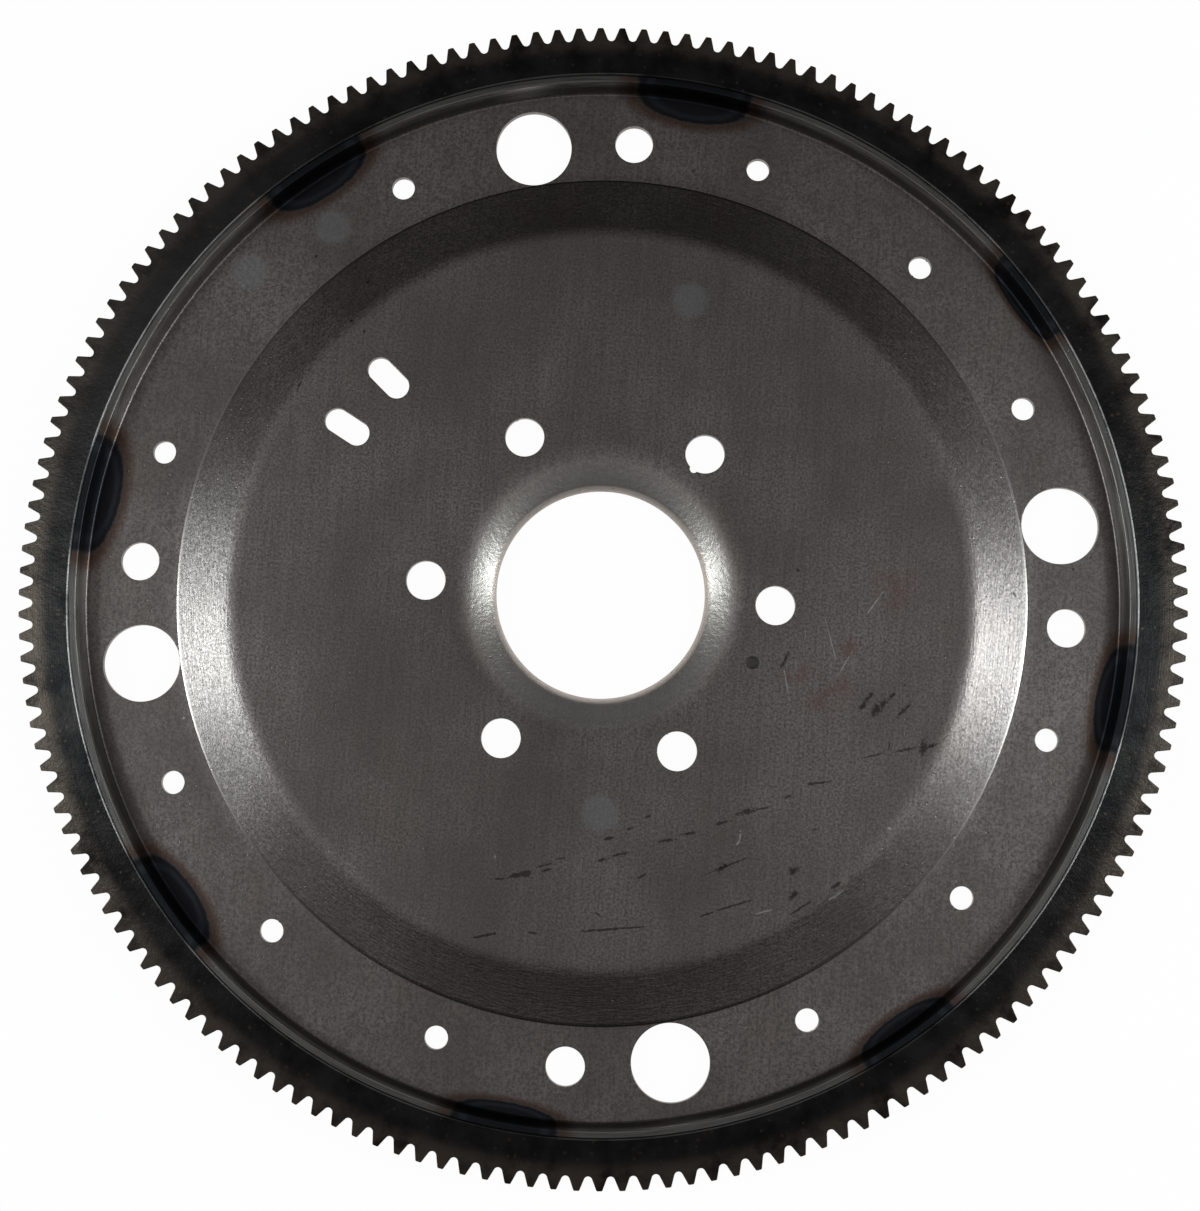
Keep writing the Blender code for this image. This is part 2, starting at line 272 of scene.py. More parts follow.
def make_punches():
    bm = bmesh.new()
    for angle in CRANK_ANGLES:
        add_punch(bm, CRANK_CIRCLE, angle, CRANK_HOLE, 48)
    for angle in CONVERTER_ANGLES:
        add_punch(bm, CONVERTER_CIRCLE, angle, CONVERTER_HOLE, 48)
        add_punch(bm, CONVERTER_CIRCLE, angle + ACCESS_OFFSET, ACCESS_HOLE, 88)
    for angle in SMALL_ANGLES:
        add_punch(bm, CONVERTER_CIRCLE, angle, SMALL_HOLE, 36)
    for angle in SLOT_ANGLES:
        add_slot_punch(bm, angle)
    return to_object("punches", bm)


def punch_out(piece, punch):
    cut = piece.modifiers.new(punch.name, "BOOLEAN")
    cut.operation = "DIFFERENCE"
    cut.solver = "EXACT"
    cut.object = punch
    apply_modifiers(piece)
    bpy.data.objects.remove(punch, do_unlink=True)


punch_out(plate, make_punches())
print("plate faces after punching:", len(plate.data.polygons))

# %% [markdown]
# Two small details make this plate its own. The offset bolt hole has a notch in its inner side, which
# marks it. Beside another hole lies a blind dimple, where a punch with a rounded nose sank 0.9 mm into
# the face without going through.

# %% Add the notch and the dimple
NOTCH_CIRCLE = 0.04855
NOTCH_RADIUS = 0.00125
DIMPLE_CIRCLE = 0.0518
DIMPLE_ANGLE = -20.6
DIMPLE_DEPTH = 0.0009
DIMPLE_NOSE = 0.0013
DIMPLE_TOP = 0.0027
NOSE_ROUND = 0.0005


def make_notch_punch():
    bm = bmesh.new()
    add_punch(bm, NOTCH_CIRCLE, OFFSET_HOLE, NOTCH_RADIUS, 20)
    return to_object("notch_punch", bm)


def make_dimple_punch():
    """A blunt cone with a rounded nose, half of it below the face."""
    bm = bmesh.new()
    made = bmesh.ops.create_cone(
        bm,
        cap_ends=True,
        segments=32,
        radius1=DIMPLE_NOSE,
        radius2=DIMPLE_TOP,
        depth=2 * DIMPLE_DEPTH,
        matrix=Matrix.Translation(polar(DIMPLE_CIRCLE, DIMPLE_ANGLE) + Vector((0.0, 0.0, INNER_FACE))),
    )["verts"]
    nose = [v for v in made if v.co.z < INNER_FACE]
    rim = [e for e in bm.edges if e.verts[0] in nose and e.verts[1] in nose]
    bmesh.ops.bevel(
        bm,
        geom=rim,
        offset=NOSE_ROUND,
        segments=3,
        profile=0.5,
        affect="EDGES",
        material=-1,
    )
    return to_object("dimple_punch", bm)


punch_out(plate, make_notch_punch())
punch_out(plate, make_dimple_punch())
print("plate faces with notch and dimple:", len(plate.data.polygons))

# %% [markdown]
# No punched edge is a perfect corner. A narrow bevel on every edge that turns more than 50 degrees
# catches a thin line of light, as the real edges do, and the rim's upper edge gets a wider one. Weighted
# normals then keep the wide flats flat, so that only the bends and bevels shade round.

# %% Ease the plate's edges
EDGE_EASE = 0.00018
RIM_EASE = 0.00035
CORNER_TURN = 50.0


def ease_edges(piece, width, segments, least_turn, wanted=lambda middle: True):
    """Bevels the edges that turn enough and whose middle is wanted."""
    bm = bmesh.new()
    bm.from_mesh(piece.data)
    least = math.radians(least_turn)
    corners = [
        e
        for e in bm.edges
        if len(e.link_faces) == 2
        and e.calc_face_angle() > least
        and wanted((e.verts[0].co + e.verts[1].co) / 2)
    ]
    bmesh.ops.bevel(
        bm,
        geom=corners,
        offset=width,
        segments=segments,
        profile=0.5,
        affect="EDGES",
        material=-1,
        loop_slide=True,
    )
    bm.to_mesh(piece.data)
    bm.free()
    print(piece.name, "eased edges:", len(corners))


ease_edges(plate, RIM_EASE, 3, CORNER_TURN, wanted=lambda middle: middle.z > RIM_EDGE - 0.0001)
ease_edges(plate, EDGE_EASE, 2, CORNER_TURN)
shade(plate)
seat(plate, "stamped_plate")

# %% [markdown]
# ## The ring gear
#
# The ring is rolled from bar, welded into a hoop, turned, and then its 164 teeth are cut. All teeth are
# alike, so one tooth and half a gap on each side are drawn as a flat face. Rounding that face's corners
# with a vertex bevel makes the cutter's round root and the broken tip corners.

# %% Draw one tooth
TEETH = 164
PITCH = 360.0 / TEETH
TOOTH_PHASE = -0.2
TIP_RADIUS = 0.18035
ROOT_RADIUS = 0.17605
TIP_HALF = 0.00085
FLANK_ANGLE = 21.0
RING_BORE = 0.16508
ROOT_ROUND = 0.00082
TIP_ROUND = 0.00028


def tooth_slice():
    bm = bmesh.new()
    root_half = TIP_HALF + (TIP_RADIUS - ROOT_RADIUS) * math.tan(math.radians(FLANK_ANGLE))
    tip_turn = math.degrees(TIP_HALF / TIP_RADIUS)
    root_turn = math.degrees(root_half / ROOT_RADIUS)
    corners = (
        (RING_BORE, -PITCH / 2),
        (ROOT_RADIUS, -PITCH / 2),
        (ROOT_RADIUS, -root_turn),
        (TIP_RADIUS, -tip_turn),
        (TIP_RADIUS, tip_turn),
        (ROOT_RADIUS, root_turn),
        (ROOT_RADIUS, PITCH / 2),
        (RING_BORE, PITCH / 2),
    )
    verts = [bm.verts.new(polar(r, TOOTH_PHASE + turn)) for r, turn in corners]
    bm.faces.new(verts)
    root_corners, tip_corners = verts[2:6:3], verts[3:5]
    for rounded, reach, steps in ((root_corners, ROOT_ROUND, 5), (tip_corners, TIP_ROUND, 2)):
        bmesh.ops.bevel(
            bm,
            geom=rounded,
            offset=reach,
            segments=steps,
            profile=0.5,
            affect="VERTICES",
            material=-1,
        )
    print("points on one tooth:", len(bm.verts))
    return bm


ring_bm = tooth_slice()

# %% [markdown]
# Spinning the slice with copies switched on lays the other 163 teeth round the axis, and merging the
# doubled points joins them into one toothed face. Extruding that face gives the ring its width. The
# bore's chamfer is wider than the bevel round the teeth, so the two are cut one after the other.

# %% Copy the tooth round the ring and give it its width
RING_BACK = 0.0012
RING_WIDTH = 0.0103
RING_EASE = 0.00022
BORE_CHAMFER = 0.0003
SQUARE_TURN = 60.0


def finish_ring(bm):
    bmesh.ops.spin(
        bm,
        geom=bm.faces[:] + bm.edges[:] + bm.verts[:],
        cent=(0.0, 0.0, 0.0),
        axis=(0.0, 0.0, 1.0),
        angle=math.radians(360.0 - PITCH),
        steps=TEETH - 1,
        use_duplicate=True,
    )
    bmesh.ops.remove_doubles(bm, verts=bm.verts[:], dist=0.00002)
    bmesh.ops.translate(bm, verts=bm.verts[:], vec=(0.0, 0.0, RING_BACK))
    raised = bmesh.ops.extrude_face_region(bm, geom=bm.faces[:])["geom"]
    top = [item for item in raised if isinstance(item, bmesh.types.BMVert)]
    bmesh.ops.translate(bm, verts=top, vec=(0.0, 0.0, RING_WIDTH))
    return to_object("toothed_ring", bm)


ring = finish_ring(ring_bm)
ease_edges(ring, BORE_CHAMFER, 2, SQUARE_TURN, lambda middle: middle.xy.length < RING_BORE + 0.0002)
ease_edges(ring, RING_EASE, 2, SQUARE_TURN, lambda middle: middle.xy.length > RING_BORE + 0.001)
shade(ring)
seat(ring, "ring_gear")

# %% [markdown]
# ## The weld beads
#
# Eight short welds hold the ring to the plate. They lie on the far side, in the groove between the rim's
# bend and the ring, and only their heat marks show through the sheet. A weld is a row of overlapping
# puddles, each frozen as a crescent. A round section is spun along the groove, and then each of its
# loops is swelled or drawn in and pulled back at its sides, which makes the ripples.

# %% Lay the weld beads
WELD_ANGLES = (38.95, 83.65, 128.05, 173.05, 220.05, 264.05, 308.95, 352.55)
WELD_SWEEP = 8.0
WELD_MIDDLE_R = 0.16435
WELD_MIDDLE_Z = 0.00125
WELD_HALF_WIDTH = 0.0034
WELD_HALF_HEIGHT = 0.0011
WELD_LOOPS = 84
WELD_SIDES = 18
PUDDLES = 14
RIPPLE = 0.07
PUDDLE_LAG = 0.42
BLUNT_END = 0.08


def about_axis(angle, size=4):
    return Matrix.Rotation(math.radians(angle), size, "Z")


def weld_loop_scale(step):
    """Full size along the bead, ripples on it, and rounded ends."""
    along = step / WELD_LOOPS
    ends = min(1.0, math.sqrt(max(0.0, 1.0 - abs(2.0 * along - 1.0) ** 6)) + BLUNT_END)
    puddle = (along * PUDDLES) % 1.0
    return ends * (1.0 - RIPPLE + RIPPLE * math.sin(math.pi * puddle) ** 0.7)


def lay_weld(number, angle):
    bm = bmesh.new()
    middle = Vector((WELD_MIDDLE_R, 0.0, WELD_MIDDLE_Z))
    stand_up = Matrix.Rotation(math.radians(90.0), 4, "X")
    section = Matrix.Diagonal((WELD_HALF_WIDTH, 1.0, WELD_HALF_HEIGHT, 1.0))
    start = about_axis(-WELD_SWEEP / 2) @ Matrix.Translation(middle)
    bmesh.ops.create_circle(bm, segments=WELD_SIDES, radius=1.0, matrix=start @ section @ stand_up)
    bmesh.ops.spin(
        bm,
        geom=bm.verts[:] + bm.edges[:],
        cent=(0.0, 0.0, 0.0),
        axis=(0.0, 0.0, 1.0),
        angle=math.radians(WELD_SWEEP),
        steps=WELD_LOOPS,
    )
    bmesh.ops.holes_fill(bm, edges=bm.edges[:], sides=WELD_SIDES)
    loops = {}
    for vert in bm.verts:
        turn = math.degrees(math.atan2(vert.co.y, vert.co.x))
        loops.setdefault(round((turn / WELD_SWEEP + 0.5) * WELD_LOOPS), []).append(vert)
    for step, verts in loops.items():
        centre = about_axis((step / WELD_LOOPS - 0.5) * WELD_SWEEP) @ middle
        size = weld_loop_scale(step)
        bmesh.ops.scale(bm, verts=verts, vec=(size,) * 3, space=Matrix.Translation(-centre))
        for vert in verts:
            off_middle = (vert.co.xy.length - WELD_MIDDLE_R) / WELD_HALF_WIDTH
            vert.co = about_axis(-PUDDLE_LAG * off_middle**2) @ vert.co
    bmesh.ops.rotate(bm, verts=bm.verts[:], cent=(0, 0, 0), matrix=about_axis(angle, size=3))
    bead = to_object(f"weld_{number}", bm)
    shade(bead)
    seat(bead, f"weld_bead_{number}")
    return bead


welds = [lay_weld(number, angle) for number, angle in enumerate(WELD_ANGLES, start=1)]
print("lowest point of a weld in mm:", round(1000 * min(v.co.z for v in welds[0].data.vertices), 3))

# %% [markdown]
# ## Small tools for building finishes
#
# A finish in Blender is a graph of nodes. Short helpers keep the recipes below readable: they add a node,
# link it or set its value, and work out a number. Fades and bands turn a place on the part into a mask
# from 0 to 1, and a mask then says how much of one colour lies over another.

# %% Node helpers: numbers and masks
def add_node(tree, kind, **settings):
    node = tree.nodes.new(kind)
    for name, value in settings.items():
        setattr(node, name, value)
    return node


def feed(tree, socket, value):
    """Links another node's output, or sets a plain number, vector or colour."""
    if isinstance(value, bpy.types.NodeSocket):
        tree.links.new(value, socket)
    else:
        socket.default_value = value


def calc(tree, operation, *values, clamp=False):
    node = add_node(tree, "ShaderNodeMath", operation=operation, use_clamp=clamp)
    for socket, value in zip(node.inputs, values):
        feed(tree, socket, value)
    return node.outputs[0]


def times(tree, first, second):
    return calc(tree, "MULTIPLY", first, second)


def weigh(tree, start, *parts):
    """Adds to a first value each of the other values times its weight."""
    for value, weight in parts:
        start = calc(tree, "MULTIPLY_ADD", value, weight, start)
    return start


def least(tree, values):
    result = values[0]
    for value in values[1:]:
        result = calc(tree, "MINIMUM", result, value)
    return result


def fade(tree, value, none, full):
    """0 where the value is at none, 1 where it is at full, and smooth between."""
    node = add_node(tree, "ShaderNodeMapRange", interpolation_type="SMOOTHSTEP")
    feed(tree, node.inputs["Value"], value)
    feed(tree, node.inputs["From Min"], none)
    feed(tree, node.inputs["From Max"], full)
    return node.outputs[0]


def band(tree, value, rise, full, hold, fall):
    """A mask that rises, holds at 1 and falls again along a value."""
    return times(tree, fade(tree, value, rise, full), fade(tree, value, fall, hold))


def blend(tree, share, first, second):
    """The first number where the share is 0, and the second where it is 1."""
    node = add_node(tree, "ShaderNodeMix", data_type="FLOAT")
    feed(tree, node.inputs[0], share)
    feed(tree, node.inputs[2], first)
    feed(tree, node.inputs[3], second)
    return node.outputs[0]


# %% [markdown]
# Noise is what keeps steel from looking like plastic. A higher scale makes it finer, more detail adds
# smaller and smaller lumps, and a higher roughness makes those lumps stronger. Stretching the place that
# the noise is asked for draws the lumps out into lines.

# %% Node helpers: colours, noise and bumps
def mix(tree, share, first, second):
    node = add_node(tree, "ShaderNodeMix", data_type="RGBA")
    feed(tree, node.inputs[0], share)
    feed(tree, node.inputs[6], first)
    feed(tree, node.inputs[7], second)
    return node.outputs[2]


def lay_over(tree, below, mask, share, above):
    """Covers a colour with another one where the mask is 1, as thickly as the share says."""
    return mix(tree, times(tree, mask, share), below, above)


def noise(tree, vector, scale, detail=2.0, roughness=0.5):
    node = add_node(tree, "ShaderNodeTexNoise")
    feed(tree, node.inputs["Vector"], vector)
    node.inputs["Scale"].default_value = scale
    node.inputs["Detail"].default_value = detail
    node.inputs["Roughness"].default_value = roughness
    return node.outputs["Fac"]


def stretch(tree, vector, place=(0, 0, 0), turn=(0, 0, 0), scale=(1, 1, 1)):
    node = add_node(tree, "ShaderNodeMapping")
    feed(tree, node.inputs["Vector"], vector)
    node.inputs["Location"].default_value = place
    node.inputs["Rotation"].default_value = [math.radians(angle) for angle in turn]
    node.inputs["Scale"].default_value = scale
    return node.outputs[0]


def axes(tree, vector):
    """The three numbers of a vector, across, up and out."""
    node = add_node(tree, "ShaderNodeSeparateXYZ")
    feed(tree, node.inputs[0], vector)
    return node.outputs


def set_bump(tree, shader, height, strength, distance):
    """Makes the light fall as if the surface rose and sank with the height."""
    node = add_node(tree, "ShaderNodeBump")
    node.inputs["Strength"].default_value = strength
    node.inputs["Distance"].default_value = distance
    feed(tree, node.inputs["Height"], height)
    feed(tree, shader.inputs["Normal"], node.outputs[0])


def start_finish(name):
    """A new material with its node tree, its shader and the place on the part."""
    material = bpy.data.materials.new(name)
    material.use_nodes = True
    tree = material.node_tree
    place = add_node(tree, "ShaderNodeTexCoord").outputs["Object"]
    return material, tree, tree.nodes["Principled BSDF"], place


def wear(piece, material):
    piece.data.materials.clear()
    piece.data.materials.append(material)
    print(piece.name, "wears", material.name, "with", len(material.node_tree.nodes), "nodes")


# %% [markdown]
# Effects that several finishes share, or that one finish uses many times, become node groups. Each is
# built once and then placed wherever it is wanted, with its own values.

# %% Node helpers: groups
def new_group(name, inputs, outputs):
    """An empty node group. What is labelled Vector or starts as three numbers is a vector."""
    tree = bpy.data.node_groups.new(name, "ShaderNodeTree")
    for label, value in inputs:
        kind = "NodeSocketVector" if label == "Vector" or isinstance(value, tuple) else "NodeSocketFloat"
        socket = tree.interface.new_socket(label, in_out="INPUT", socket_type=kind)
        if value is not None:
            socket.default_value = value
    for label in outputs:
        kind = "NodeSocketVector" if label == "Vector" else "NodeSocketFloat"
        tree.interface.new_socket(label, in_out="OUTPUT", socket_type=kind)
    return tree, add_node(tree, "NodeGroupInput").outputs, add_node(tree, "NodeGroupOutput").inputs


def use_group(tree, group, **values):
    """Places a group and sets or links its inputs. Underscores in a name stand for spaces."""
    node = add_node(tree, "ShaderNodeGroup", node_tree=group)
    for label, value in values.items():
        feed(tree, node.inputs[label.replace("_", " ")], value)
    return node.outputs


# %% [markdown]
# Nearly everything on this part runs round its axis, so the first group turns a place on the part into
# its distance from the axis and its angle. A vector made of the two, as if the part were unrolled, lets
# noise be stretched round the axis like tool marks.

# %% Group: place round the axis
def build_round_place():
    tree, given, out = new_group("round_place", [("Vector", None)], ["Radius", "Angle", "Vector"])
    x, y, z = axes(tree, given["Vector"])
    radius = calc(tree, "SQRT", weigh(tree, times(tree, x, x), (y, y)))
    turn = calc(tree, "ARCTAN2", y, x)
    angle = calc(tree, "MODULO", calc(tree, "ADD", calc(tree, "DEGREES", turn), 360.0), 360.0)
    unrolled = add_node(tree, "ShaderNodeCombineXYZ")
    for socket, value in zip(unrolled.inputs, (turn, radius, z)):
        feed(tree, socket, value)
    feed(tree, out["Radius"], radius)
    feed(tree, out["Angle"], angle)
    feed(tree, out["Vector"], unrolled.outputs[0])
    return tree


round_place = build_round_place()
print(round_place.name, "nodes:", len(round_place.nodes))

# %% [markdown]
# Steel that has lain in a bin is pitted with tiny dark pocks of different sizes. A Voronoi pattern
# scatters points evenly, and keeping only the middle of some cells leaves separate specks.

# %% Group: pits
def build_pits():
    tree, given, out = new_group("pits", [("Vector", None), ("Scale", 600.0), ("Size", 0.25)], ["Mask"])
    cells = add_node(tree, "ShaderNodeTexVoronoi")
    feed(tree, cells.inputs["Vector"], given["Vector"])
    feed(tree, cells.inputs["Scale"], given["Scale"])
    chance = add_node(tree, "ShaderNodeSeparateColor")
    feed(tree, chance.inputs[0], cells.outputs["Color"])
    kept = fade(tree, chance.outputs[0], 0.45, 0.9)
    reach = times(tree, kept, given["Size"])
    depth = calc(tree, "SUBTRACT", reach, cells.outputs["Distance"])
    feed(tree, out["Mask"], fade(tree, depth, 0.0, 0.10))
    return tree


pits = build_pits()
print(pits.name, "nodes:", len(pits.nodes))

# %% [markdown]
# Where a weld was made, heat ran through the sheet and left a dark blue-black lens against the rim, with
# a faint paler line inside it and a rust-brown fringe. In the unrolled view it is half an oval, whose
# straight side lies on the rim. Each of the eight marks has its own middle, half width and reach, because
# the welds were made by hand. The group tells how far out from a mark's middle a place is, with 1 on its
# edge. The finish then asks only for the nearest of the eight, so that the edge, line and fringe are
# worked out once.

# %% Group: heat mark
MARK_BASE = 0.16315


def build_heat_mark():
    tree, given, out = new_group(
        "heat_mark",
        [("Radius", 0.0), ("Angle", 0.0), ("Middle", 0.0), ("Half Width", 6.0), ("Reach", 0.155)],
        ["Away"],
    )
    apart = calc(tree, "SUBTRACT", given["Angle"], given["Middle"])
    wrapped = calc(tree, "SUBTRACT", calc(tree, "MODULO", calc(tree, "ADD", apart, 540.0), 360.0), 180.0)
    share = calc(tree, "DIVIDE", wrapped, given["Half Width"])
    inwards = calc(tree, "MAXIMUM", calc(tree, "SUBTRACT", MARK_BASE, given["Radius"]), 0.0)
    depth = calc(tree, "DIVIDE", inwards, calc(tree, "SUBTRACT", MARK_BASE, given["Reach"]))
    squares = weigh(tree, times(tree, share, share), (depth, depth))
    feed(tree, out["Away"], calc(tree, "SQRT", squares))
    return tree


heat_mark = build_heat_mark()
print(heat_mark.name, "nodes:", len(heat_mark.nodes))

# %% [markdown]
# Years on a shelf leave scuffs, scratches and stains. Each is an oval with noise breaking up its edge.
# Every row of a table gives one mark: its middle in mm, its direction in degrees, and its half length
# and half width in mm, as measured on the photo. Dark scrapes and specks come first, then the softer
# scuffs, the light scratches, four pale round stains, and rust. Last come two wide patches of painted
# shade at the left and right, in the corner at the rim's foot, and the dirt that fills the dimple.

# %% Tables of marks
DARK_MARKS = (
    (-24.2, -89.9, 4, 2.5, 0.35), (-18.1, -88.2, 17, 4, 0.8), (-16.2, -87.7, 18, 2.3, 0.95),
    (-10.3, -84.6, 20, 3.4, 0.3), (-10.2, -86.2, 17, 2.1, 0.4), (-5.8, -82.3, 10, 1.9, 0.3),
    (6.9, -81.8, 17, 2.4, 0.5), (12.2, -79.7, 17, 3.2, 0.4), (8.4, -75.2, 17, 1.9, 0.55),
    (14.5, -71.7, 20, 1.8, 0.45), (26, -74.5, 13, 3.6, 0.55), (33, -71.8, 13, 2.9, 0.6),
    (42.2, -67.9, 17, 2.9, 0.5), (49.5, -64, 18, 3.5, 0.85), (54.5, -62.6, 13, 2.8, 0.35),
    (19.8, -67.6, 28, 1.4, 0.4), (61.9, -58.5, 20, 1.6, 0.4), (71.8, -53.4, 11, 3.3, 0.45),
    (69, -53.9, 21, 1.3, 0.7), (19.1, -85.9, 38, 1.7, 0.4), (44.4, -81, 26, 8.9, 0.3),
    (39.9, -95.8, 23, 2.6, 0.4), (47.3, -92.7, 21, 6.8, 0.35), (68.4, -91.5, 36, 5.3, 0.4),
    (12.1, -102.3, 8, 12.1, 0.35), (8.8, -102.9, 8, 6.9, 0.4), (-27.5, -107.4, 15, 4.6, 0.5),
    (-13, -105.4, 176, 1.7, 0.45), (6.5, -98.3, 145, 1.2, 0.4), (70.8, -67.8, 6, 0.7, 0.5),
    (78.4, -84.1, 35, 2.1, 0.6), (60.5, 11.5, 0, 0.6, 0.6), (87.8, -43.8, 17, 4.3, 0.3),
    (91.9, -41, 83, 1.8, 0.3), (95.6, -21.6, 0, 0.5, 0.5), (19.5, 137.8, 0, 0.6, 0.6),
    (-151.7, -16.6, 0, 0.5, 0.5), (146.4, 18.6, 0, 0.5, 0.5), (128.2, 9.4, 127, 1.3, 0.45),
    (106.5, -1.6, 0, 0.5, 0.5), (-98.6, 101.8, 0, 0.7, 0.6), (-81, 93.9, 0, 0.7, 0.6),
    (-84.7, 80.4, 24, 0.7, 0.5), (-80.3, 77.2, 0, 0.6, 0.5), (-99.3, 58.5, 70, 2.5, 0.4),
)
SOFT_SCUFFS = (
    (83.3, -28.9, 55, 2.6, 1.2), (85, -25.9, 46, 2.6, 0.9), (87.3, -29.9, 65, 3.4, 2.1),
    (89.4, -28.1, 55, 2.8, 1.2), (91.8, -25.4, 50, 2.6, 0.8), (95.7, -29.6, 49, 4.2, 0.9),
    (102.4, -40.2, 78, 4.0, 1.8), (104.7, -39.8, 27, 2.6, 1.0), (96.3, -41.6, 17, 5.2, 0.6),
    (65.1, -80.7, 28, 2.6, 1.5), (65.6, -87.9, 39, 2.2, 1.5), (43.1, -81.5, 50, 2.8, 1.4),
    (58.4, -16.6, 67, 3.6, 0.8),
)
LIGHT_MARKS = (
    (48.2, -71.5, 88, 1.7, 0.4), (47.8, -73.4, 63, 1, 0.35), (-26.1, -83.5, 96, 0.7, 0.3),
    (78.5, -87.2, 40, 2.8, 0.6), (93.6, -65.8, 0, 0.6, 0.5), (56.9, -93.8, 18, 3.2, 0.25),
    (59.3, -23.8, 104, 4.9, 0.25), (85, 3, 58, 4.4, 0.3), (76.6, -17, 63, 5.1, 0.22),
    (72.3, -10.3, 108, 8.2, 0.16), (-160.8, -53.3, 0, 0.5, 0.45), (-126.8, -48, 0, 0.4, 0.4),
)
PALE_STAINS = (
    (-94, 111.3, 0, 6.8, 6.8), (-119.2, 95.1, 0, 6.8, 6.8), (21.3, 94.4, 0, 6.8, 6.8),
    (5, -67.7, 0, 6.8, 6.8),
)
RUST_STAINS = (
    (72.7, -26.4, 0, 12, 10), (61.5, -19.5, 0, 8, 6.5), (90.2, 8, 80, 11, 9),
    (77.5, -11.6, 0, 5, 4.5), (-104.9, 96.7, 0, 2, 1.8), (27.5, 134.4, 0, 1.1, 1.1),
    (133.6, -11.4, 0, 1.6, 1.4),
)
# Two wide patches of painted shade at the left and right, for the corner at the rim's foot.
CORNER_SHADE = ((160, -10, 90, 130, 55), (-150, -62, 112, 65, 45))
DIMPLE_DIRT = ((48.5, -18.2, 0, 2.5, 2.5),)
print("dark marks:", len(DARK_MARKS), "scuffs:", len(SOFT_SCUFFS), "light marks:", len(LIGHT_MARKS))
print("pale stains:", len(PALE_STAINS), "rust stains:", len(RUST_STAINS))

# %% [markdown]
# A place is u half lengths along an oval and v half widths across it, and it lies inside where u and v
# squared add up to less than 1. Each of the two is one dot product, which is the quickest sum a shader
# can do, and with seventy marks that shows in the render time. One square root and one fade then serve
# a whole table, because only the nearest oval counts.

# %% Group: smudge
def build_smudge():
    tree, given, out = new_group(
        "smudge", [("Vector", None), ("Along", (1.0, 0.0, 0.0)), ("Across", (0.0, 1.0, 0.0))], ["Away"]
    )
    squares = []
    for way in ("Along", "Across"):
        reach = add_node(tree, "ShaderNodeVectorMath", operation="DOT_PRODUCT")
        feed(tree, reach.inputs[0], given["Vector"])
        feed(tree, reach.inputs[1], given[way])
        squares.append(times(tree, reach.outputs["Value"], reach.outputs["Value"]))
    feed(tree, out["Away"], calc(tree, "ADD", *squares))
    return tree


smudge = build_smudge()
print(smudge.name, "nodes:", len(smudge.nodes))

# %% [markdown]
# The next function turns a row of a table into the vectors for those dot products. The place is flattened
# first: its height is swapped for 1, so that the vector's third number can carry the oval's middle.

# %% A mask for a table of marks
EDGE_START = 1.05
EDGE_END = 0.80


def oval_way(x, y, angle, half):
    """Dotted with (place, 1), this tells how many halves the place is from the middle along the angle."""
    way = polar(1000.0 / half, angle)
    way.z = -(x * way.x + y * way.y) / 1000
    return tuple(way)


def smudges(tree, place, rows, ragged, soft=0.0):
    """One mask for a whole table of marks. Soft widens the edge inwards."""
    flat = stretch(tree, place, place=(0, 0, 1), scale=(1, 1, 0))
    away = []
    for x, y, turn, half_length, half_width in rows:
        along, across = oval_way(x, y, turn, half_length), oval_way(x, y, turn + 90, half_width)
        away.append(use_group(tree, smudge, Vector=flat, Along=along, Across=across)["Away"])
    out_from_middle = calc(tree, "ADD", calc(tree, "SQRT", least(tree, away)), ragged)
    return fade(tree, out_from_middle, EDGE_START, EDGE_END - soft)


# %% [markdown]
# ## The plate's finish
#
# The sheet is bare rolled steel, dull and a little warm in colour. Its finish is built in layers, each by
# a short function that takes the colour so far and gives it back changed. The first layer is the sheet as
# it comes from the mill: slow mottling, warm patches, fine grain and the faint lines of rolling.

# %% Plate layer: the bare sheet
DULL_SHEET = (0.172, 0.149, 0.142, 1)
BRIGHT_SHEET = (0.272, 0.238, 0.228, 1)
WARM_SHEET = (0.215, 0.172, 0.155, 1)
SHEET_GRAIN = (0.122, 0.106, 0.100, 1)
MILL_LINES = (1400.0, 40.0, 40.0)
MILL_TURN = -4.0


def bare_sheet(tree, place, mottle):
    grain = noise(tree, place, 1300.0, 3.0, 0.75)
    mill_place = stretch(tree, place, turn=(0, 0, MILL_TURN), scale=MILL_LINES)
    rolled = noise(tree, mill_place, 1.0, 3.0, 0.7)
    warmth = noise(tree, stretch(tree, place, place=(0.31, 0.17, 0.0)), 34.0, 4.0, 0.65)
    colour = mix(tree, fade(tree, mottle, 0.3, 0.7), DULL_SHEET, BRIGHT_SHEET)
    colour = lay_over(tree, colour, fade(tree, warmth, 0.48, 0.72), 0.5, WARM_SHEET)
    texture = weigh(tree, times(tree, grain, 0.8), (rolled, 0.2))
    return mix(tree, fade(tree, texture, 0.38, 0.62), SHEET_GRAIN, colour)


# %% [markdown]
# Much of the finish belongs to one zone of the plate, such as the lip, the slope or the crease. A zone is
# a fade or a band over a range of radii or heights, in metres, so the ranges below read like the section.

# %% Plate zones
LIP = (0.0450, 0.0400)
NEAR_BORE = (0.0450, 0.0375)
LAND = (0.0345, 0.0338)
LIP_SHOULDER = (0.0395, 0.0415, 0.0440, 0.0480)
SLOPE = (0.1130, 0.1180, 0.1319, 0.1324)
CREASE = (0.1323, 0.1326, 0.1330, 0.1332)
TO_SIDES = (0.055, 0.125)
RIM_CORNER = (0.1565, 0.1605)
OUT_TO_WALL = (0.1600, 0.1610)
OUTER_EDGE = (0.1630, 0.1635)
UP_THE_WALL = (0.0040, 0.0046)
WALL_RISE = (0.0055, 0.0095)
RIM_TOP = (0.0105, 0.0107)


